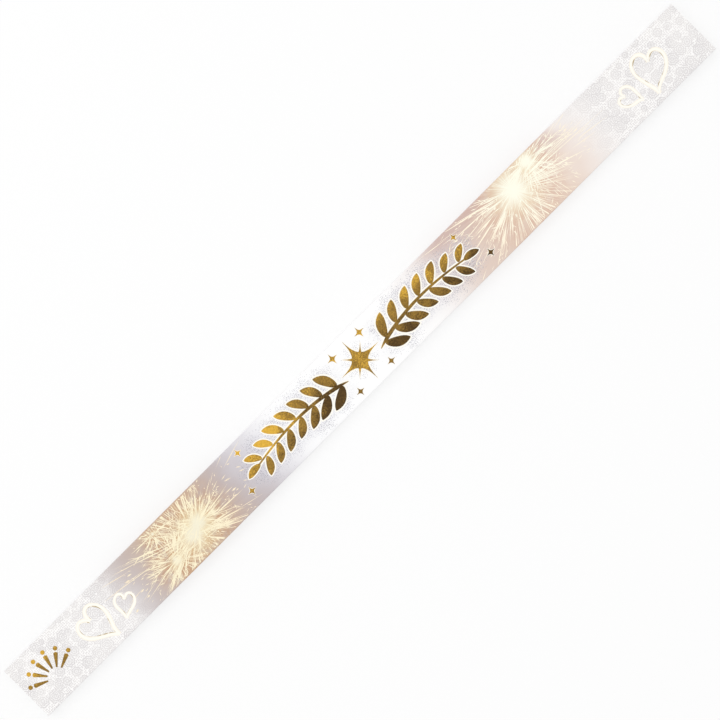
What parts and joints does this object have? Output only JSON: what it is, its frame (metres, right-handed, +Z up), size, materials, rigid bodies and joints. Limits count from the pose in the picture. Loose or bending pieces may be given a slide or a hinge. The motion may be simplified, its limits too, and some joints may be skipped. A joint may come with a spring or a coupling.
{
  "type": "sparkler slide box",
  "caption": "Slim flat board sleeve with a slide-out tray that holds a single layer of hand-held sparklers, each a straight wire with a dipped coating.",
  "frame": {"origin": "under the middle of the closed pack, on the back face that it rests on", "axes": "+X along the pack, towards the coated ends of the sparklers; +Y across it, towards the glued side; +Z up, out of the printed front"},
  "size_m": [0.4084, 0.0274, 0.0068],
  "materials": {
    "printed_board": "satin",
    "white_board": "matte",
    "glue": "satin",
    "steel_wire": "satin",
    "spark_coating": "matte"
  },
  "bodies": {
    "sleeve": {"sleeve_front_panel": "printed_board", "sleeve_left_side": "printed_board", "sleeve_right_side": "printed_board", "sleeve_back_panel": "white_board", "sleeve_seam_flap": "white_board", "seam_glue": "glue"},
    "tray": {"tray_base": "white_board", "tray_left_wall": "white_board", "tray_right_wall": "white_board", "tray_head_wall": "white_board", "tray_tail_wall": "white_board", "tray_corner_tabs": "white_board"},
    "sparkler_1": {"sparkler_1_wire": "steel_wire", "sparkler_1_coating": "spark_coating"},
    "sparkler_2": {"sparkler_2_wire": "steel_wire", "sparkler_2_coating": "spark_coating"},
    "sparkler_3": {"sparkler_3_wire": "steel_wire", "sparkler_3_coating": "spark_coating"},
    "sparkler_4": {"sparkler_4_wire": "steel_wire", "sparkler_4_coating": "spark_coating"},
    "sparkler_5": {"sparkler_5_wire": "steel_wire", "sparkler_5_coating": "spark_coating"},
    "sparkler_6": {"sparkler_6_wire": "steel_wire", "sparkler_6_coating": "spark_coating"}
  },
  "joints": [
    {"name": "tray_slide", "type": "slide", "parent": "sleeve", "child": "tray", "axis": [1, 0, 0], "range_m": [-0.37, 0.37]},
    {"name": "sparkler_1_shift", "type": "slide", "parent": "tray", "child": "sparkler_1", "axis": [1, 0, 0], "range_m": [-0.0022, 0.0022]},
    {"name": "sparkler_2_shift", "type": "slide", "parent": "tray", "child": "sparkler_2", "axis": [1, 0, 0], "range_m": [-0.0022, 0.0022]},
    {"name": "sparkler_3_shift", "type": "slide", "parent": "tray", "child": "sparkler_3", "axis": [1, 0, 0], "range_m": [-0.0022, 0.0022]},
    {"name": "sparkler_4_shift", "type": "slide", "parent": "tray", "child": "sparkler_4", "axis": [1, 0, 0], "range_m": [-0.0022, 0.0022]},
    {"name": "sparkler_5_shift", "type": "slide", "parent": "tray", "child": "sparkler_5", "axis": [1, 0, 0], "range_m": [-0.0022, 0.0022]},
    {"name": "sparkler_6_shift", "type": "slide", "parent": "tray", "child": "sparkler_6", "axis": [1, 0, 0], "range_m": [-0.0022, 0.0022]}
  ]
}
